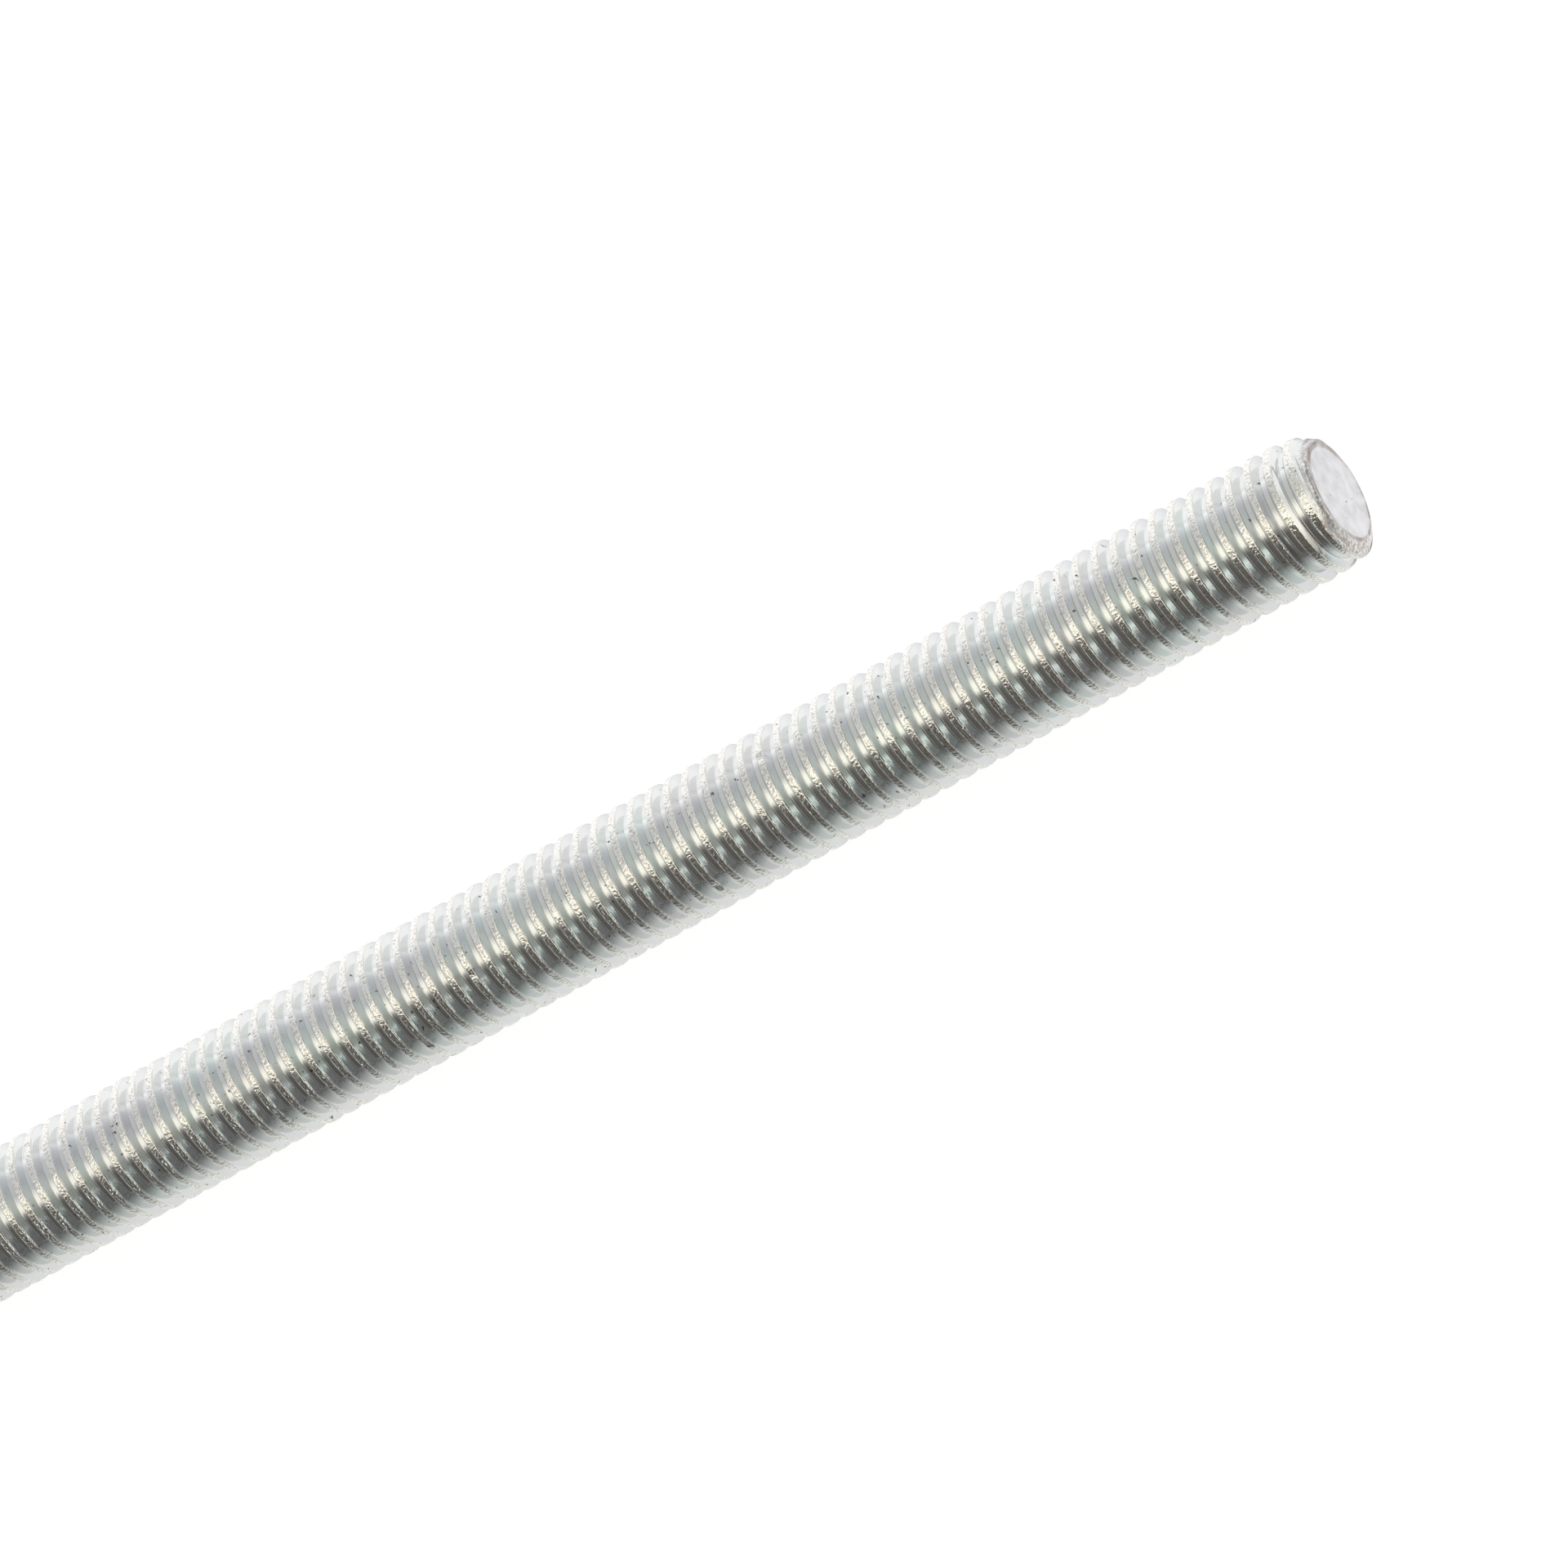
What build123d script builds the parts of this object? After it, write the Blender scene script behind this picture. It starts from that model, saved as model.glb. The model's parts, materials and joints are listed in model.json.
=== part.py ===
# A fully threaded steel rod, cut to length and chamfered at both ends.
# It lies along X with its middle at the origin.
# The bar is as wide as the rolled thread over its crests.

import os

from build123d import *

# Driving dimensions, in millimetres
thread_diameter = 8.0
thread_pitch = 1.25
rod_length = 100.0

# Each end's chamfer is cut past the root of the thread, so that a nut starts cleanly.
# Its angle is measured from the end face: a short steep chamfer keeps the first crest close to the end.
chamfer_below_root = 0.233
chamfer_angle = 30.0

# Rolling draws the skin of the bar out a little further than its core.
# That leaves a narrow rim around a shallow dish in each end face.
end_rim_width = 0.3
end_dish_depth = 0.08
dish_wall_angle = 45.0
rim_edge_radius = 0.05

# Depth of the coarse thread from crest to root, as a share of its pitch
thread_depth_share = 0.6134

# Sizes that follow from those above
crest_radius = thread_diameter / 2
root_radius = crest_radius - thread_depth_share * thread_pitch
end_face_radius = root_radius - chamfer_below_root
chamfer_depth = crest_radius - end_face_radius
dish_radius = end_face_radius - end_rim_width

os.makedirs("parts", exist_ok=True)

# The rod, in one piece
with BuildPart() as threaded_rod:
    with BuildSketch(Plane.YZ):
        Circle(crest_radius)
    extrude(amount=rod_length / 2, both=True)

    # The two chamfers, measured down each end face
    for end_face in threaded_rod.faces().filter_by(Axis.X):
        chamfer(end_face.edges(), length=chamfer_depth, angle=chamfer_angle, reference=end_face)

    # The dish in each end face, its wall sloping in towards the floor
    for end_face in threaded_rod.faces().filter_by(Axis.X):
        with BuildSketch(end_face):
            Circle(dish_radius)
        extrude(amount=-end_dish_depth, taper=dish_wall_angle, mode=Mode.SUBTRACT)

    # The rim's outer edge is rubbed round
    rims = threaded_rod.faces().filter_by(Axis.X).filter_by(lambda face: len(face.inner_wires()) > 0)
    outer_edges = [rim.outer_wire().edge() for rim in rims]
    fillet(outer_edges, radius=rim_edge_radius)

threaded_rod.part.label = "threaded_rod"
export_step(threaded_rod.part, "parts/threaded_rod.step")
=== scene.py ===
import json
import math

import bpy
from mathutils import Matrix, Vector, noise


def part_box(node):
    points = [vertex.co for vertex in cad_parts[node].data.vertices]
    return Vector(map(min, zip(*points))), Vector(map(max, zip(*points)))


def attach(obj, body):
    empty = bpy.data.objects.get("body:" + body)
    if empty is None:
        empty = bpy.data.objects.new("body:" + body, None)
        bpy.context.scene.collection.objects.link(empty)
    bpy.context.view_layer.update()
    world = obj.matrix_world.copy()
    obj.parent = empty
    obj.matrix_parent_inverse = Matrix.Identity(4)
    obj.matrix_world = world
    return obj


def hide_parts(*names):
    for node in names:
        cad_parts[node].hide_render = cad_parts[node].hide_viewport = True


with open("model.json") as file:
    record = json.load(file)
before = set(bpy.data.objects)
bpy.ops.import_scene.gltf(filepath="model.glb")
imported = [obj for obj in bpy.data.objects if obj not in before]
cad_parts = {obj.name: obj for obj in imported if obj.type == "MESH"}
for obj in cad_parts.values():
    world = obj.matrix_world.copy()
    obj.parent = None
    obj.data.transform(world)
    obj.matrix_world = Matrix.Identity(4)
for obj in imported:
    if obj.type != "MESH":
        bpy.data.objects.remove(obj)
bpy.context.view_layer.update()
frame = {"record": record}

# A zinc plated threaded rod, lying on a pale floor.
# It lies along X with its near end at +X, and -Y is its front. Angles about it run from +Y towards +Z.
# Lengths are in millimetres until a mesh, a card or the camera is placed.
MM = 0.001
shank = next(mount for mount in frame["record"]["mounts"] if mount["name"] == "shank")
end_rim = next(mount for mount in frame["record"]["mounts"] if mount["name"] == "end_face")
_, rod_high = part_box("threaded_rod")

# The rod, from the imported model
HALF_LENGTH = rod_high.x / MM
NOMINAL_RADIUS = shank["dims"]["r_mm"]
CHAMFER_LENGTH = HALF_LENGTH - shank["dims"]["length_mm"] / 2
# Rolled crests come out a little under the nominal radius, as the standard allows
CREST_SHORTFALL = 0.04
CREST_RADIUS = NOMINAL_RADIUS - CREST_SHORTFALL

# The thread: rolled and right-hand, with flat crests, narrower roots and steep flanks.
# The flanks' lean is measured from square to the axis.
PITCH = 1.25
FLANK_LEAN = math.radians(28)
CREST_WIDTH = 0.36
ROOT_WIDTH = 0.28
CREST_ROUND = 0.05
ROOT_ROUND = 0.045
# How much of a round's bend is done at each row of points across it
CREST_ROUND_SHARES = (0.0, 0.35, 0.7, 1.0)
ROOT_ROUND_SHARES = (1.0, 0.5, 0.0)
STEPS_PER_TURN = 72
# Spare turns that are laid out at each end, of which only what lies on the rod is kept
SPARE_TURNS = 2

# Wear of the crests: a slow ripple from rolling, and knocks from handling.
# It fades with the depth below the crest and grows towards the far end.
RIPPLE_HEIGHT = 0.012
RIPPLE_LENGTH = 1.6
# The wear's own slope is taken over this step along the thread
RIPPLE_STEP = 0.05
KNOCK_DEPTH = 0.12
KNOCK_LENGTH = 0.7
KNOCK_RARITY = 0.5
# The knocks are read from the noise along a line of their own
KNOCK_TRACK = 31.7
WORN_DEPTH = 0.3
FAR_WEAR = 1.5

# Where the first crest by the near end lies: its inset from that end, at an angle about the axis
FIRST_CREST_INSET = 0.59
FIRST_CREST_ANGLE = math.radians(196)

# Each end: a chamfer down to the end face, and a dish inside a narrow rim.
# A rise or a slant is in millimetres per millimetre.
RIM_WIDTH = 0.3
END_FACE_RADIUS = end_rim["pos_m"][2] / MM + RIM_WIDTH / 2
CHAMFER_RISE = (NOMINAL_RADIUS - END_FACE_RADIUS) / CHAMFER_LENGTH
CHAMFER_BLEND = 0.1
RIM_ROUND = 0.04
# The thread is not rolled full in the last turns: its crests start this deep and rise from there
TAPER_DEPTH = 0.36
TAPER_RADIUS = CREST_RADIUS - TAPER_DEPTH
TAPER_RISE = 0.16
# Each end was cropped a little off the axis, and not quite square
END_SHIFT = 0.066
END_SHIFT_ANGLE = math.radians(16)
END_SLANT = 0.042
END_SLANT_ANGLE = math.radians(106)
# Rings of points: across the rim as shares of its width, and across the dish as shares of its radius
RIM_RING_SHARES = (1 / 3, 2 / 3)
DISH_DEPTH = 0.08
DISH_RING_SHARES = (0.92, 0.84, 0.75, 0.65, 0.55, 0.44, 0.32, 0.2, 0.08)
RIM_WEAR = 0.05
DISH_WEAR = 0.05
DENT_SIZE = 0.6

# The plating. Its real grain is some hundredths of a millimetre, and is drawn coarser so that it shows.
# A span is the noise's level where its mark starts to show and where it shows in full.
PLATE_ROUGHNESS = 0.12
GRAIN_SIZE = 0.16
GRAIN_DETAIL = 1.0
GROOVE_GRAIN_DEPTH = 0.002
CREST_GRAIN_DEPTH = 0.036
CHAMFER_GRAIN_SHARE = 0.4
DIRT_SPAN = (0.48, 0.36)
STREAK_LENGTH = 5.0
STREAK_WIDTH = 0.045
STREAK_DEPTH = 0.004
STREAK_DETAIL = 1.0
# The crest fades in between these cosines of the place in a turn, which is 1 at the crest's middle
CREST_FADE = (0.3, 0.62)
# Where the painted dark reflection lies on the crest's shoulder, and how wide it is
REFLECTION_LINE_OFFSET = 0.135
REFLECTION_LINE_WIDTH = 0.045
STAIN_SIZE = 4.0
STAIN_DETAIL = 3.0
STAIN_SPAN = (0.35, 0.65)
END_DULL_LENGTH = 0.5
DULL_SIZE = 0.2
DULL_DETAIL = 4.0
DULL_SPAN = (0.35, 0.6)
SPECK_SIZE = 0.45
SPECK_DETAIL = 2.0
SPECK_SPAN = (0.7, 0.76)

# The plating of the cropped ends
END_ROUGHNESS = 0.45
END_GRAIN_DEPTH = 0.02
END_GRAIN_DETAIL = 2.0
MOTTLE_SIZE = 0.8
MOTTLE_DETAIL = 4.0
MOTTLE_SPAN = (0.35, 0.65)
RIM_FADE_SHARE = 0.25
RIM_LEAST_STAIN_SHARE = 0.3
PIT_SIZE = 0.35
PIT_DETAIL = 2.0
PIT_SPAN = (0.7, 0.76)

# The sockets of a Mix node that mixes colours, whose names the node uses more than once
MIX_FIRST = 6
MIX_SECOND = 7
MIX_RESULT = 2

# The camera: how far the rod tilts towards it, slopes across the picture and is rolled about its axis,
# and where and how wide its near end is seen, in pixels
ROD_TILT = math.radians(22.3)
ROD_SLOPE = math.radians(28.67)
ROD_ROLL = math.radians(16.0)
IMAGE_SIZE = 1920
FOCAL_PIXELS = 12870
SENSOR_WIDTH = 36.0
END_CENTRE_PIXEL = (1643.8, 600.9)
END_WIDTH_PIXELS = 181.6
CLIP_NEAR = 10.0
CLIP_FAR = 10000.0

# The light: what the floor adds so that it shows as white, and the soft light of the room
FLOOR_GLOW = (0.78, 0.78, 0.78, 1.0)
FLOOR_REACH = 2000.0
ROOM_LIGHT = 0.3

# The cards. A strip of the room lies between two shares of the way towards the rod's near end,
# which are 1 beyond that end, 0 square to the rod and -1 beyond the far end.
CARD_DISTANCE = 1500.0
STRIP_STEP_DEGREES = 3
STRIP_COLUMNS = 9
FAR_STRIP_SHARES = (-1.0, -0.82)
WINDOW_STRIP_SHARES = (-0.82, -0.64)
WALL_STRIP_SHARES = (-0.64, -0.5)
LEFT_STRIP_SHARES = (-0.5, -0.41)
NEAR_STRIP_SHARES = (-0.41, 0.45)
RIGHT_STRIP_SHARES = (0.45, 0.98)
SHEET_COLUMNS = 2
SHEET_REACH = 300.0
SHEET_LIFT = 0.02
END_SHEET_WIDTH = 80.0


def linear(hex_colour):
    """Turns an sRGB hex colour into linear RGBA, by the formula of the sRGB standard."""
    channels = [int(hex_colour[i:i + 2], 16) / 255 for i in (1, 3, 5)]
    return [c / 12.92 if c <= 0.04045 else ((c + 0.055) / 1.055) ** 2.4 for c in channels] + [1.0]


def add_node(tree, kind, links=(), **settings):
    """Adds a node. Settings are its own, and each link is an output or a value with the input it goes to."""
    node = tree.nodes.new(kind)
    for name, value in settings.items():
        setattr(node, name, value)
    for source, target in links:
        if isinstance(source, bpy.types.NodeSocket):
            tree.links.new(source, node.inputs[target])
        else:
            node.inputs[target].default_value = source
    return node


def thread_profile():
    """One turn from root to root over the crest: each point's offset along the rod, radius and slope.

    The slope is how fast the radius falls towards the near end.
    """
    flank_run = (PITCH - CREST_WIDTH - ROOT_WIDTH) / 2
    root_radius = CREST_RADIUS - flank_run / math.tan(FLANK_LEAN)
    bend = math.pi / 2 - FLANK_LEAN
    # A round of this radius leaves the flat this far before the corner that it replaces
    crest_cut = CREST_ROUND * math.tan(bend / 2)
    root_cut = ROOT_ROUND * math.tan(bend / 2)
    half = []
    for share in CREST_ROUND_SHARES:
        turn = bend * share
        half.append((CREST_WIDTH / 2 - crest_cut + CREST_ROUND * math.sin(turn),
                     CREST_RADIUS - CREST_ROUND * (1 - math.cos(turn)), math.tan(turn)))
    for share in ROOT_ROUND_SHARES:
        turn = bend * share
        half.append((PITCH / 2 - ROOT_WIDTH / 2 + root_cut - ROOT_ROUND * math.sin(turn),
                     root_radius + ROOT_ROUND * (1 - math.cos(turn)), math.tan(turn)))
    mirrored = [(-offset, radius, -slope) for offset, radius, slope in reversed(half)]
    return [(-PITCH / 2, root_radius, 0.0)] + mirrored + [(0.0, CREST_RADIUS, 0.0)] + half


def rubbed_cut(radius, cone_radius):
    """A radius cut down to a cone, with the corner rubbed round, and the cone's share of the surface.

    The corner is a parabola that meets both where they are as far apart as the blend.
    """
    overlap = max(CHAMFER_BLEND - abs(radius - cone_radius), 0) / CHAMFER_BLEND
    share = overlap / 2 if radius < cone_radius else 1 - overlap / 2
    return min(radius, cone_radius) - overlap * overlap * CHAMFER_BLEND / 4, share


def crest_wear(distance, along):
    """How far the crest stands above or below its true radius, at a distance along the thread."""
    ripple = RIPPLE_HEIGHT * noise.noise((distance / RIPPLE_LENGTH, 0.0, 0.0))
    knock = max(noise.noise((distance / KNOCK_LENGTH, KNOCK_TRACK, 0.0)) - KNOCK_RARITY, 0) * KNOCK_DEPTH
    far_share = (1 - along / HALF_LENGTH) / 2
    return (ripple - knock) * (1 + FAR_WEAR * far_share)


def ring_point(along, radius, angle):
    """A point at a radius and an angle about the axis."""
    return Vector((along, radius * math.cos(angle), radius * math.sin(angle)))


def end_set_back(radius, angle):
    """How far a point of an end face lies back from the rod's full length."""
    return END_SLANT * (END_FACE_RADIUS + radius * math.cos(angle - END_SLANT_ANGLE))


def skin_point(profile_point, along, angle, distance):
    """A point of the threaded skin with its normal, its place on the thread and the chamfer's share.

    The chamfer's share also covers the last stretch of the thread, where the plating is dull.
    """
    offset, radius, slope = profile_point
    crest_share = max(1 - (CREST_RADIUS - radius) / WORN_DEPTH, 0)
    wear = crest_wear(distance, along) * crest_share
    wear_ahead = crest_wear(distance + RIPPLE_STEP, along) * crest_share
    inset = HALF_LENGTH - end_set_back(END_FACE_RADIUS, angle) - abs(along)
    taper_radius, taper = rubbed_cut(radius + wear, TAPER_RADIUS + TAPER_RISE * inset)
    shifted_radius = END_FACE_RADIUS + END_SHIFT * math.cos(angle - END_SHIFT_ANGLE)
    cut_radius, chamfer = rubbed_cut(taper_radius, shifted_radius + CHAMFER_RISE * inset)
    thread_slope = (1 - taper) * slope + taper * math.copysign(TAPER_RISE, along)
    towards_end = (1 - chamfer) * thread_slope + chamfer * math.copysign(CHAMFER_RISE, along)
    around = (1 - chamfer) * (1 - taper) * (-slope * PITCH / (math.tau * radius)
                                            - (wear_ahead - wear) / RIPPLE_STEP)
    outward = ring_point(0, 1, angle)
    sideways = ring_point(0, 1, angle + math.pi / 2)
    normal = Vector((towards_end, 0, 0)) + outward + around * sideways
    phase = math.tau * offset / PITCH
    place = (distance, math.cos(phase), math.sin(phase))
    dullness = max(1 - inset / END_DULL_LENGTH, 0)
    return ring_point(along, cut_radius, angle) * MM, normal.normalized(), place, max(chamfer, dullness)


def lay_thread(profile):
    """The points of the threaded skin, and for each step about the axis a column of them by row."""
    skin = []
    columns = []
    first_turn = -int(HALF_LENGTH * 2 / PITCH) - SPARE_TURNS
    start = HALF_LENGTH - FIRST_CREST_INSET - PITCH * FIRST_CREST_ANGLE / math.tau
    for step in range(STEPS_PER_TURN):
        angle = math.tau * step / STEPS_PER_TURN
        skin_end = HALF_LENGTH - end_set_back(END_FACE_RADIUS, angle) - RIM_ROUND
        column = {}
        for turn in range(first_turn, SPARE_TURNS + 1):
            turns = turn + step / STEPS_PER_TURN
            for row, profile_point in enumerate(profile):
                along = start + PITCH * turns + profile_point[0]
                if abs(along) <= skin_end:
                    column[turn * len(profile) + row] = len(skin)
                    skin.append(skin_point(profile_point, along, angle, turns * math.tau * CREST_RADIUS))
        columns.append(column)
    return skin, columns


def end_face_rings():
    """The depth, radius and wear of an end face's rings: a worn rim, then a dish with an uneven floor."""
    dish_radius = END_FACE_RADIUS - RIM_WIDTH - DISH_DEPTH
    rings = [(RIM_ROUND, END_FACE_RADIUS, 0.0)]
    rings += [(0.0, END_FACE_RADIUS - RIM_WIDTH * share, RIM_WEAR) for share in RIM_RING_SHARES]
    rings += [(DISH_DEPTH / 2, END_FACE_RADIUS - RIM_WIDTH, 0.0), (DISH_DEPTH, dish_radius, DISH_WEAR)]
    rings += [(DISH_DEPTH, dish_radius * share, DISH_WEAR) for share in DISH_RING_SHARES]
    return rings


def lay_end_face(side, rings):
    """The points of one end face, ring by ring and then its middle.

    Side is 1 at the near end and -1 at the far end.
    """
    points = []
    centre = ring_point(0.0, END_SHIFT, END_SHIFT_ANGLE)
    for depth, radius, wear in rings:
        for step in range(STEPS_PER_TURN):
            angle = math.tau * step / STEPS_PER_TURN
            back = end_set_back(radius, angle)
            point = centre + ring_point(side * (HALF_LENGTH - back), radius, angle)
            dent = wear * (1 + noise.noise(point / DENT_SIZE)) / 2
            points.append((point - Vector((side * (depth + dent), 0, 0))) * MM)
    middle = side * (HALF_LENGTH - DISH_DEPTH - end_set_back(0.0, 0.0))
    points.append((centre + Vector((middle, 0.0, 0.0))) * MM)
    return points


def build_rod_mesh():
    """The threaded skin as a helical net of quads, closed by the two end faces."""
    profile = thread_profile()
    skin, columns = lay_thread(profile)
    rings = end_face_rings()
    points = [point for point, _, _, _ in skin]
    first_point = {}
    for side in (1, -1):
        first_point[side] = len(points)
        points += lay_end_face(side, rings)

    faces = []
    end_faces = []
    for step in range(STEPS_PER_TURN):
        after = (step + 1) % STEPS_PER_TURN
        # After the last column comes the first again, one turn further along
        shift = len(profile) if after == 0 else 0
        here = columns[step]
        there = {row - shift: point for row, point in columns[after].items()}
        for row in here:
            corners = (here.get(row), there.get(row), there.get(row + 1), here.get(row + 1))
            if None not in corners:
                faces.append(corners)
        # The rows that stop at each end are joined to its outer ring
        near_ring = first_point[1]
        last_there = max(there)
        stopped = [here[row] for row in range(last_there, max(here) + 1)]
        faces.append((there[last_there], near_ring + after, near_ring + step, *reversed(stopped)))
        far_ring = first_point[-1]
        first_here = min(here)
        stopped = [there[row] for row in range(min(there), first_here + 1)]
        faces.append((here[first_here], far_ring + step, far_ring + after, *stopped))
        # The end faces are quads from ring to ring, and triangles about the middle
        for side in (1, -1):
            for ring in range(len(rings)):
                outer = first_point[side] + ring * STEPS_PER_TURN
                inner = outer + STEPS_PER_TURN
                corners = [outer + step, outer + after, inner + after, inner + step]
                if ring == len(rings) - 1:
                    corners = [outer + step, outer + after, inner]
                end_faces.append(len(faces))
                faces.append(corners[::side])

    mesh = bpy.data.meshes.new("threaded_rod_skin")
    mesh.from_pydata(points, [], faces)
    for face in mesh.polygons:
        face.use_smooth = True
    # The end faces take the second of the rod's two materials
    for face in end_faces:
        mesh.polygons[face].material_index = 1
    # The end faces' own points keep the normals that Blender works out
    end_points = len(points) - len(skin)
    normals = [normal for _, normal, _, _ in skin] + [Vector()] * end_points
    mesh.normals_split_custom_set_from_vertices(normals)
    places = [value for _, _, place, _ in skin for value in place] + [0.0, 0.0, 0.0] * end_points
    mesh.attributes.new("thread_place", "FLOAT_VECTOR", "POINT").data.foreach_set("vector", places)
    shares = [share for _, _, _, share in skin] + [1.0] * end_points
    mesh.attributes.new("chamfer_share", "FLOAT", "POINT").data.foreach_set("value", shares)
    return mesh


def zinc_plate():
    """Bright zinc plated on a rolled thread: a clear mirror in the grooves, and grainy, worn crests.

    The passivation leaves faint stains, the rolling leaves lines along the crests,
    and a little of the plating has come off in specks. It is dull by the cropped ends.
    A thin dark line along each crest's shoulder is a painted reflection.
    """
    material = bpy.data.materials.new("bright_zinc_plate_on_rolled_thread")
    material.use_nodes = True
    tree = material.node_tree
    shader = tree.nodes["Principled BSDF"]
    shader.inputs["Metallic"].default_value = 1.0
    shader.inputs["Roughness"].default_value = PLATE_ROUGHNESS
    place = add_node(tree, "ShaderNodeAttribute", attribute_name="thread_place")
    chamfer = add_node(tree, "ShaderNodeAttribute", attribute_name="chamfer_share")
    spot = add_node(tree, "ShaderNodeTexCoord")
    spot_mm = add_node(tree, "ShaderNodeVectorMath", [(spot.outputs["Object"], 0), (1 / MM, "Scale")],
                       operation="SCALE")

    # The crest, and a painted reflection: a thin dark line along its shoulder on the side of the near end
    parts = add_node(tree, "ShaderNodeSeparateXYZ", [(place.outputs["Vector"], 0)])
    crest = add_node(tree, "ShaderNodeMapRange", [(parts.outputs["Y"], "Value"), (CREST_FADE[0], "From Min"),
                                                  (CREST_FADE[1], "From Max")],
                     interpolation_type="SMOOTHSTEP")
    shoulder_turn = math.tau * REFLECTION_LINE_OFFSET / PITCH
    towards_shoulder = (0.0, math.cos(shoulder_turn), math.sin(shoulder_turn))
    nearness = add_node(tree, "ShaderNodeVectorMath", [(place.outputs["Vector"], 0), (towards_shoulder, 1)],
                        operation="DOT_PRODUCT")
    shoulder_edge = math.cos(math.tau * REFLECTION_LINE_WIDTH / 2 / PITCH)
    painted_reflection_mask = add_node(tree, "ShaderNodeMapRange", [(nearness.outputs["Value"], "Value"),
                                                     (shoulder_edge, "From Min"), (1.0, "From Max")])

    # Lines along the thread, and a grain in the plating
    around = PITCH / math.tau / STREAK_WIDTH
    streak_place = add_node(tree, "ShaderNodeVectorMath", [(place.outputs["Vector"], 0),
                                                           ((1 / STREAK_LENGTH, around, around), 1)],
                            operation="MULTIPLY")
    streaks = add_node(tree, "ShaderNodeTexNoise", [(streak_place.outputs[0], "Vector"), (1.0, "Scale"),
                                                    (STREAK_DETAIL, "Detail")])
    grain = add_node(tree, "ShaderNodeTexNoise", [(spot_mm.outputs[0], "Vector"), (1 / GRAIN_SIZE, "Scale"),
                                                  (GRAIN_DETAIL, "Detail")])
    # The chamfer is cut, so it is smoother than the crests
    chamfer_grain = add_node(tree, "ShaderNodeMath", [(chamfer.outputs["Fac"], 0), (CHAMFER_GRAIN_SHARE, 1)],
                             operation="MULTIPLY")
    grain_share = add_node(tree, "ShaderNodeMath", [(crest.outputs[0], 0), (chamfer_grain.outputs[0], 1)],
                           operation="MAXIMUM")
    grain_depth = add_node(tree, "ShaderNodeMapRange", [(grain_share.outputs[0], "Value"),
                                                        (GROOVE_GRAIN_DEPTH, "To Min"),
                                                        (CREST_GRAIN_DEPTH, "To Max")])
    grain_height = add_node(tree, "ShaderNodeMath", [(grain.outputs["Fac"], 0), (grain_depth.outputs[0], 1)],
                            operation="MULTIPLY")
    streak_depth = add_node(tree, "ShaderNodeMath", [(crest.outputs[0], 0), (STREAK_DEPTH, 1)],
                            operation="MULTIPLY")
    height = add_node(tree, "ShaderNodeMath", [(streaks.outputs["Fac"], 0), (streak_depth.outputs[0], 1),
                                               (grain_height.outputs[0], 2)], operation="MULTIPLY_ADD")
    bump = add_node(tree, "ShaderNodeBump", [(height.outputs[0], "Height"), (MM, "Distance")])
    tree.links.new(bump.outputs[0], shader.inputs["Normal"])

    # Stains, then the faint straw tint of the crests
    stain = add_node(tree, "ShaderNodeTexNoise", [(spot_mm.outputs[0], "Vector"), (1 / STAIN_SIZE, "Scale"),
                                                  (STAIN_DETAIL, "Detail")])
    stain_share = add_node(tree, "ShaderNodeMapRange", [(stain.outputs["Fac"], "Value"),
                                                        (STAIN_SPAN[0], "From Min"),
                                                        (STAIN_SPAN[1], "From Max")])
    plate = add_node(tree, "ShaderNodeMix",
                     [(stain_share.outputs[0], 0), (linear("#e4e8e6"), MIX_FIRST),
                      (linear("#e3e3e3"), MIX_SECOND)], data_type="RGBA")
    straw = add_node(tree, "ShaderNodeMix",
                     [(crest.outputs[0], 0), (plate.outputs[MIX_RESULT], MIX_FIRST),
                      (linear("#f3f2ee"), MIX_SECOND)], data_type="RGBA")
    # Dirt lies in the low places of the crests' grain
    valley = add_node(tree, "ShaderNodeMapRange", [(grain.outputs["Fac"], "Value"),
                                                   (DIRT_SPAN[0], "From Min"), (DIRT_SPAN[1], "From Max")])
    dirt_share = add_node(tree, "ShaderNodeMath", [(valley.outputs[0], 0), (crest.outputs[0], 1)],
                          operation="MULTIPLY")
    dirty = add_node(tree, "ShaderNodeMix",
                     [(dirt_share.outputs[0], 0), (straw.outputs[MIX_RESULT], MIX_FIRST),
                      (linear("#d9d2ca"), MIX_SECOND)], data_type="RGBA")
    # Dull patches by the ends
    dull = add_node(tree, "ShaderNodeTexNoise", [(spot_mm.outputs[0], "Vector"), (1 / DULL_SIZE, "Scale"),
                                                 (DULL_DETAIL, "Detail")])
    dull_share = add_node(tree, "ShaderNodeMapRange", [(dull.outputs["Fac"], "Value"),
                                                       (DULL_SPAN[0], "From Min"),
                                                       (DULL_SPAN[1], "From Max")])
    end_share = add_node(tree, "ShaderNodeMath", [(dull_share.outputs[0], 0), (chamfer.outputs["Fac"], 1)],
                         operation="MULTIPLY")
    dulled = add_node(tree, "ShaderNodeMix",
                      [(end_share.outputs[0], 0), (dirty.outputs[MIX_RESULT], MIX_FIRST),
                       (linear("#b2aaa3"), MIX_SECOND)], data_type="RGBA")
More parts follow.
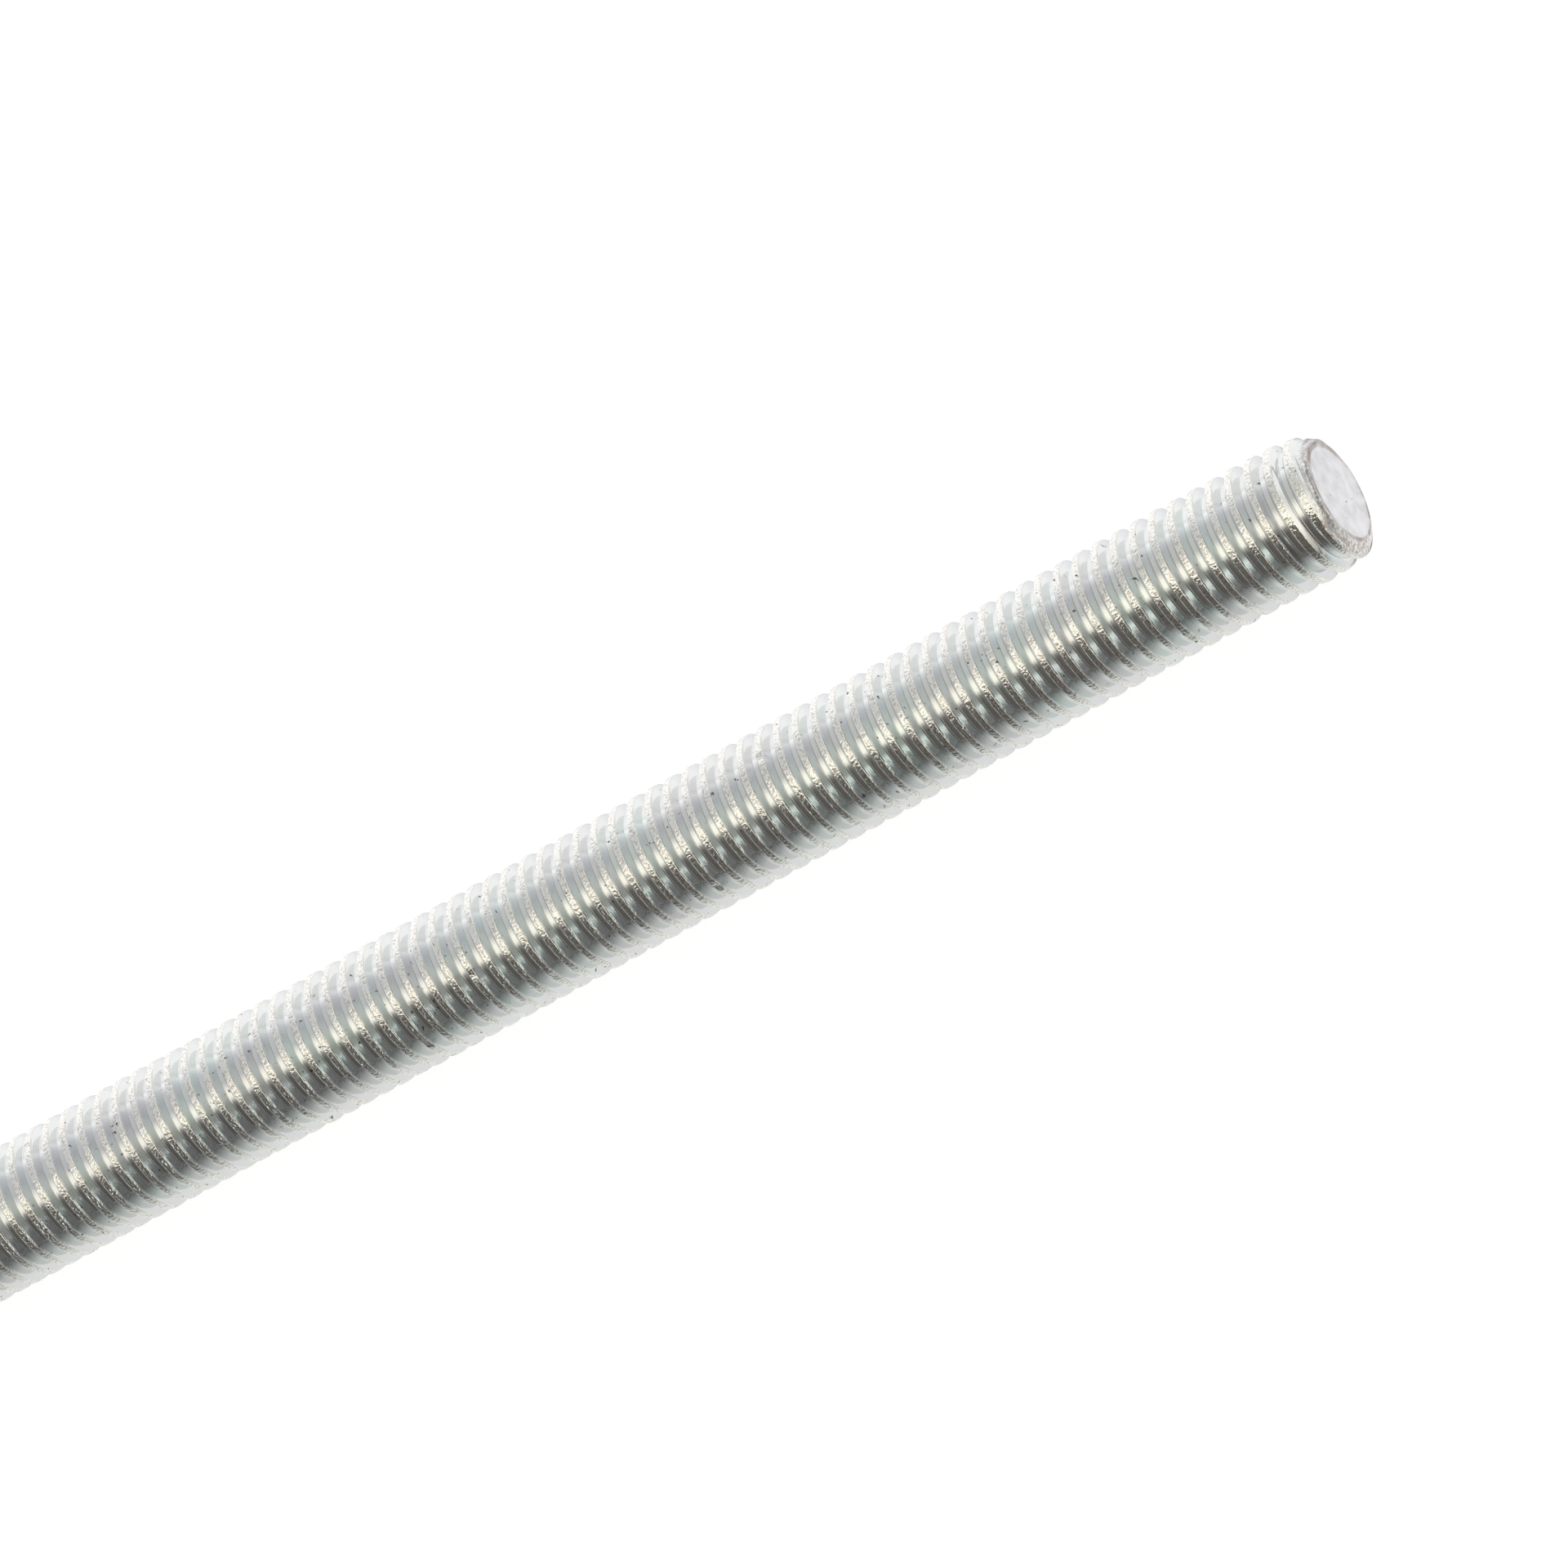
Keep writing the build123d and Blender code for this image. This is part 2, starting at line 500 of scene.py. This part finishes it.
    # The painted dark reflection along the shoulder, broken by the streaks, and the specks
    painted_reflection_share = add_node(tree, "ShaderNodeMath", [(painted_reflection_mask.outputs[0], 0), (streaks.outputs["Fac"], 1)],
                          operation="MULTIPLY")
    reflection_painted = add_node(tree, "ShaderNodeMix",
                     [(painted_reflection_share.outputs[0], 0), (dulled.outputs[MIX_RESULT], MIX_FIRST),
                      (linear("#7d6c62"), MIX_SECOND)], data_type="RGBA")
    fleck = add_node(tree, "ShaderNodeTexNoise", [(spot_mm.outputs[0], "Vector"), (1 / SPECK_SIZE, "Scale"),
                                                  (SPECK_DETAIL, "Detail")])
    speck = add_node(tree, "ShaderNodeMapRange", [(fleck.outputs["Fac"], "Value"),
                                                  (SPECK_SPAN[0], "From Min"), (SPECK_SPAN[1], "From Max")])
    flecked = add_node(tree, "ShaderNodeMix",
                       [(speck.outputs[0], 0), (reflection_painted.outputs[MIX_RESULT], MIX_FIRST),
                        (linear("#6a645c"), MIX_SECOND)], data_type="RGBA")
    tree.links.new(flecked.outputs[MIX_RESULT], shader.inputs["Base Color"])
    return material


def zinc_end():
    """Dull zinc plated on a cropped end: matt and mottled, with pits, inside a browner rim."""
    material = bpy.data.materials.new("dull_zinc_plate_on_cropped_end")
    material.use_nodes = True
    tree = material.node_tree
    shader = tree.nodes["Principled BSDF"]
    shader.inputs["Metallic"].default_value = 1.0
    shader.inputs["Roughness"].default_value = END_ROUGHNESS
    spot = add_node(tree, "ShaderNodeTexCoord")
    spot_mm = add_node(tree, "ShaderNodeVectorMath", [(spot.outputs["Object"], 0), (1 / MM, "Scale")],
                       operation="SCALE")
    across = add_node(tree, "ShaderNodeVectorMath", [(spot_mm.outputs[0], 0), ((0.0, 1.0, 1.0), 1)],
                      operation="MULTIPLY")
    radius = add_node(tree, "ShaderNodeVectorMath", [(across.outputs[0], 0)], operation="LENGTH")
    mottle = add_node(tree, "ShaderNodeTexNoise", [(spot_mm.outputs[0], "Vector"),
                                                   (1 / MOTTLE_SIZE, "Scale"), (MOTTLE_DETAIL, "Detail")])
    mottle_share = add_node(tree, "ShaderNodeMapRange", [(mottle.outputs["Fac"], "Value"),
                                                         (MOTTLE_SPAN[0], "From Min"),
                                                         (MOTTLE_SPAN[1], "From Max")])
    face = add_node(tree, "ShaderNodeMix",
                    [(mottle_share.outputs[0], 0), (linear("#e9e9ec"), MIX_FIRST),
                     (linear("#d8d8da"), MIX_SECOND)], data_type="RGBA")
    # The rim's stain fades in from its inner edge, and the mottling thins it
    rim_inside = END_FACE_RADIUS - RIM_WIDTH
    rim_full = rim_inside + RIM_WIDTH * RIM_FADE_SHARE
    rim = add_node(tree, "ShaderNodeMapRange", [(radius.outputs["Value"], "Value"), (rim_inside, "From Min"),
                                                (rim_full, "From Max")],
                   interpolation_type="SMOOTHSTEP")
    rim_stain = add_node(tree, "ShaderNodeMapRange", [(mottle_share.outputs[0], "Value"),
                                                      (RIM_LEAST_STAIN_SHARE, "To Min"), (1.0, "To Max")])
    rim_share = add_node(tree, "ShaderNodeMath", [(rim.outputs[0], 0), (rim_stain.outputs[0], 1)],
                         operation="MULTIPLY")
    rimmed = add_node(tree, "ShaderNodeMix",
                      [(rim_share.outputs[0], 0), (face.outputs[MIX_RESULT], MIX_FIRST),
                       (linear("#a99c96"), MIX_SECOND)], data_type="RGBA")
    hollow = add_node(tree, "ShaderNodeTexNoise", [(spot_mm.outputs[0], "Vector"), (1 / PIT_SIZE, "Scale"),
                                                   (PIT_DETAIL, "Detail")])
    pit = add_node(tree, "ShaderNodeMapRange", [(hollow.outputs["Fac"], "Value"), (PIT_SPAN[0], "From Min"),
                                                (PIT_SPAN[1], "From Max")])
    pitted = add_node(tree, "ShaderNodeMix",
                      [(pit.outputs[0], 0), (rimmed.outputs[MIX_RESULT], MIX_FIRST),
                       (linear("#8f8b86"), MIX_SECOND)], data_type="RGBA")
    tree.links.new(pitted.outputs[MIX_RESULT], shader.inputs["Base Color"])
    fine = add_node(tree, "ShaderNodeTexNoise", [(spot_mm.outputs[0], "Vector"), (1 / GRAIN_SIZE, "Scale"),
                                                 (END_GRAIN_DETAIL, "Detail")])
    height = add_node(tree, "ShaderNodeMath", [(fine.outputs["Fac"], 0), (END_GRAIN_DEPTH, 1)],
                      operation="MULTIPLY")
    bump = add_node(tree, "ShaderNodeBump", [(height.outputs[0], "Height"), (MM, "Distance")])
    tree.links.new(bump.outputs[0], shader.inputs["Normal"])
    return material


def seen_directly(tree):
    """1 for what the camera, the metal's reflections and anything clear see, 0 for soft light."""
    path = add_node(tree, "ShaderNodeLightPath")
    mirror = add_node(tree, "ShaderNodeMath",
                      [(path.outputs["Is Camera Ray"], 0), (path.outputs["Is Glossy Ray"], 1)],
                      operation="MAXIMUM")
    either = add_node(tree, "ShaderNodeMath",
                      [(mirror.outputs[0], 0), (path.outputs["Is Transmission Ray"], 1)],
                      operation="MAXIMUM")
    return either.outputs[0]


def build_floor():
    """A wide white floor under the rod, which the camera and the metal see as white."""
    reach = FLOOR_REACH * MM
    level = -CREST_RADIUS * MM
    mesh = bpy.data.meshes.new("floor")
    corners = [(-reach, -reach, level), (reach, -reach, level),
               (reach, reach, level), (-reach, reach, level)]
    mesh.from_pydata(corners, [], [(0, 1, 2, 3)])
    floor = bpy.data.objects.new("floor", mesh)
    bpy.context.collection.objects.link(floor)
    material = bpy.data.materials.new("white_paper_floor")
    material.use_nodes = True
    tree = material.node_tree
    tree.nodes.clear()
    paper = add_node(tree, "ShaderNodeBsdfDiffuse", [(linear("#e6e6e6"), "Color")])
    glow = add_node(tree, "ShaderNodeEmission", [(seen_directly(tree), "Strength"), (FLOOR_GLOW, "Color")])
    both = add_node(tree, "ShaderNodeAddShader", [(paper.outputs[0], 0), (glow.outputs[0], 1)])
    add_node(tree, "ShaderNodeOutputMaterial", [(both.outputs[0], "Surface")])
    mesh.materials.append(material)


def build_world():
    """White all round for the camera and the metal, and a softer white as the light in the room."""
    world = bpy.data.worlds.new("studio")
    bpy.context.scene.world = world
    world.use_nodes = True
    tree = world.node_tree
    tree.nodes.clear()
    level = add_node(tree, "ShaderNodeMapRange", [(seen_directly(tree), "Value"), (ROOM_LIGHT, "To Min"),
                                                  (1.0, "To Max")])
    light = add_node(tree, "ShaderNodeBackground", [(linear("#ffffff"), "Color"),
                                                    (level.outputs[0], "Strength")])
    add_node(tree, "ShaderNodeOutputWorld", [(light.outputs[0], "Surface")])


def card_colour(stops, place):
    """The light of a graded card at a place between two of its stops."""
    for (low, low_hex, low_level), (high, high_hex, high_level) in zip(stops, stops[1:]):
        if place <= high:
            share = (place - low) / (high - low)
            pairs = zip(linear(low_hex), linear(high_hex))
            return [a * low_level * (1 - share) + b * high_level * share for a, b in pairs]
    return [channel * stops[-1][2] for channel in linear(stops[-1][1])]


def build_card(name, points, columns, colours):
    """A card of rows of points, with a colour for each row, which only the metal's reflections show."""
    rows = len(colours)
    faces = []
    for row in range(rows - 1):
        for column in range(columns - 1):
            first = row * columns + column
            faces.append((first, first + 1, first + columns + 1, first + columns))
    mesh = bpy.data.meshes.new(name)
    mesh.from_pydata(points, [], faces)
    glow_data = mesh.attributes.new("card_glow", "FLOAT_COLOR", "POINT").data
    glow_data.foreach_set("color", [value for colour in colours for value in colour * columns])
    card = bpy.data.objects.new(name, mesh)
    bpy.context.collection.objects.link(card)
    material = bpy.data.materials.new(name)
    material.use_nodes = True
    tree = material.node_tree
    tree.nodes.clear()
    tone = add_node(tree, "ShaderNodeAttribute", attribute_name="card_glow")
    glow = add_node(tree, "ShaderNodeEmission", [(tone.outputs["Color"], "Color")])
    add_node(tree, "ShaderNodeOutputMaterial", [(glow.outputs[0], "Surface")])
    mesh.materials.append(material)
    card.visible_camera = False
    card.visible_diffuse = False
    card.visible_shadow = False


def build_sky_strip(name, reach_shares, stops):
    """A curved strip over the rod from back to front, between two shares of the way to its near end.

    Each stop has a lean in degrees from overhead to the front, a colour and a level.
    """
    leans = range(stops[0][0], stops[-1][0] + 1, STRIP_STEP_DEGREES)
    low, high = reach_shares
    points = []
    for lean in leans:
        tip = math.radians(lean)
        for column in range(STRIP_COLUMNS):
            along = low + (high - low) * column / (STRIP_COLUMNS - 1)
            out = math.sqrt(1 - along * along)
            direction = Vector((along, -out * math.sin(tip), out * math.cos(tip)))
            points.append(direction * (CARD_DISTANCE * MM))
    build_card(name, points, STRIP_COLUMNS, [card_colour(stops, lean) for lean in leans])


def build_floor_card(name, stops, reach):
    """A sheet on the floor along the rod.

    Each stop has a distance in front of the axis, a colour and a level.
    """
    points = []
    for front, _, _ in stops:
        for along in (-reach, reach):
            points.append((along * MM, -front * MM, (SHEET_LIFT - CREST_RADIUS) * MM))
    build_card(name, points, SHEET_COLUMNS, [card_colour(stops, stop[0]) for stop in stops])


def build_end_sheet(stops):
    """A sheet beyond the near end, on top of the sheets on the floor.

    Each stop has a distance from the end, a colour and a level.
    """
    points = []
    for beyond, _, _ in stops:
        for side in (-END_SHEET_WIDTH / 2, END_SHEET_WIDTH / 2):
            points.append(Vector((HALF_LENGTH + beyond, side, 2 * SHEET_LIFT - CREST_RADIUS)) * MM)
    build_card("end_sheet", points, SHEET_COLUMNS, [card_colour(stops, stop[0]) for stop in stops])


def build_cards():
    """What the metal sees: a room with a lamp overhead and a window by the far end, and the floor.

    The room is darker at the front. The floor's sheets carry painted light and shade: a painted shadow under
    the rod and just behind it, pale beside it, painted light far behind it, and painted shade dimming to the
    front and in a band beyond the near end.
    """
    room = [(-80, "#ffffff", 1.25), (-66, "#eef0f2", 1.0), (-55, "#d2d4d3", 1.0), (-16, "#cdcec9", 1.0),
            (2, "#fffcee", 1.25), (17, "#fffcee", 1.25), (26, "#918f8a", 1.0), (35, "#67635f", 1.0),
            (80, "#5e5b57", 1.0), (91, "#6b6a67", 1.0)]
    right = [(-80, "#ffffff", 1.1), (-40, "#e8e8e4", 1.0), (0, "#fffdf4", 1.2), (40, "#fffdf4", 1.2),
             (70, "#d8d2c6", 1.0), (91, "#c9c4b8", 1.0)]
    left = [(-80, "#ffffff", 1.25), (-66, "#ececf2", 1.0), (-55, "#d0d0d4", 1.0), (-16, "#cacacd", 1.0),
            (3, "#fffaf0", 1.2), (15, "#fffaf0", 1.2), (24, "#918f8a", 1.0), (35, "#5f5d5b", 1.0),
            (80, "#545352", 1.0), (91, "#60605e", 1.0)]
    wall = [(-84, "#fafaff", 1.2), (-62, "#e6e6ec", 1.0), (-40, "#c8c8ce", 1.0), (-8, "#c0c0c5", 1.0),
            (3, "#ece8dc", 1.0), (14, "#ece8dc", 1.0), (25, "#93918e", 1.0), (40, "#6c6b6b", 1.0),
            (63, "#686969", 1.0), (91, "#8e9090", 1.0)]
    window = [(-84, "#f8fbff", 1.2), (-62, "#eaeef0", 1.0), (-40, "#dfe5e4", 1.0), (-8, "#e2e7e4", 1.0),
              (10, "#cfd2cb", 1.0), (27, "#aeb1aa", 1.0), (44, "#b4b9b4", 1.0), (51, "#f6fffa", 1.35),
              (77, "#f6fffa", 1.35), (84, "#d0d6d4", 1.0), (91, "#dce0de", 1.0)]
    build_sky_strip("room_near", NEAR_STRIP_SHARES, room)
    build_sky_strip("room_far", FAR_STRIP_SHARES, room)
    build_sky_strip("room_right", RIGHT_STRIP_SHARES, right)
    build_sky_strip("room_left", LEFT_STRIP_SHARES, left)
    build_sky_strip("wall_left", WALL_STRIP_SHARES, wall)
    build_sky_strip("window_side", WINDOW_STRIP_SHARES, window)

    # Painted light and shadow on the floor behind the rod: brighter than white far off, and a painted shadow
    # in a grey band just behind it
    painted_light_and_shadow_behind = [(-300.0, "#ffffff", 1.15), (-8.0, "#ffffff", 1.1), (-6.0, "#f4f4f8", 1.0),
              (-4.2, "#c6c5c7", 1.0)]
    # Painted shade on the floor in front of the rod: pale beside it, dimming towards the front
    front = [(4.4, "#f2f2f2", 1.0), (10.0, "#e0e3e1", 1.0), (16.0, "#b8bcba", 1.0), (28.0, "#939795", 1.0),
             (80.0, "#6a6d6c", 1.0), (250.0, "#5c5d5d", 1.0), (1600.0, "#565757", 1.0)]
    # A painted shadow under the rod
    shade = [(-3.4, "#8f8c87", 1.0), (2.5, "#8f8c87", 1.0), (3.5, "#eeeeee", 1.0), (4.4, "#f2f2f2", 1.0)]
    # Painted shade on the floor beyond the near end: a greyer band from about 17 to 60 mm beyond it
    painted_shade_beyond_end = [(12.0, "#f4f4f4", 1.0), (17.0, "#bcbebd", 1.0), (60.0, "#b0b2b1", 1.0),
                  (150.0, "#f4f4f4", 1.0)]
    build_floor_card("floor_behind_painted_light_and_shadow", painted_light_and_shadow_behind, SHEET_REACH)
    build_floor_card("floor_sheet_painted_shade", front, SHEET_REACH)
    build_floor_card("contact_shade", shade, HALF_LENGTH - CHAMFER_LENGTH)
    build_end_sheet(painted_shade_beyond_end)


def build_camera():
    """The camera is placed so that the rod lies in the picture as it does in the photograph."""
    axis = Vector((math.cos(ROD_TILT) * math.cos(ROD_SLOPE), math.cos(ROD_TILT) * math.sin(ROD_SLOPE),
                   math.sin(ROD_TILT)))
    across = Vector((-math.sin(ROD_SLOPE), math.cos(ROD_SLOPE), 0.0))
    towards = axis.cross(across)
    rod_y = math.cos(ROD_ROLL) * across - math.sin(ROD_ROLL) * towards
    rod_z = math.cos(ROD_ROLL) * towards + math.sin(ROD_ROLL) * across
    # The rows of this matrix are the rod's axes as the camera sees them
    turn = Matrix((axis, rod_y, rod_z))
    distance = FOCAL_PIXELS * 2 * NOMINAL_RADIUS / END_WIDTH_PIXELS
    half = IMAGE_SIZE / 2
    end_seen = Vector(((END_CENTRE_PIXEL[0] - half) * distance / FOCAL_PIXELS,
                       (half - END_CENTRE_PIXEL[1]) * distance / FOCAL_PIXELS, -distance))
    place = Vector((HALF_LENGTH, 0.0, 0.0)) - turn @ end_seen
    data = bpy.data.cameras.new("camera")
    data.sensor_width = SENSOR_WIDTH
    data.lens = SENSOR_WIDTH * FOCAL_PIXELS / IMAGE_SIZE
    data.clip_start = CLIP_NEAR * MM
    data.clip_end = CLIP_FAR * MM
    camera = bpy.data.objects.new("camera", data)
    camera.matrix_world = Matrix.Translation(place * MM) @ turn.to_4x4()
    bpy.context.collection.objects.link(camera)
    bpy.context.scene.camera = camera


rod = bpy.data.objects.new("threaded_rod_zinc", build_rod_mesh())
bpy.context.collection.objects.link(rod)
rod.data.materials.append(zinc_plate())
rod.data.materials.append(zinc_end())
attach(rod, "root")
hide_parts("threaded_rod")
build_floor()
build_world()
build_camera()
build_cards()
bpy.context.scene.view_settings.view_transform = "Standard"
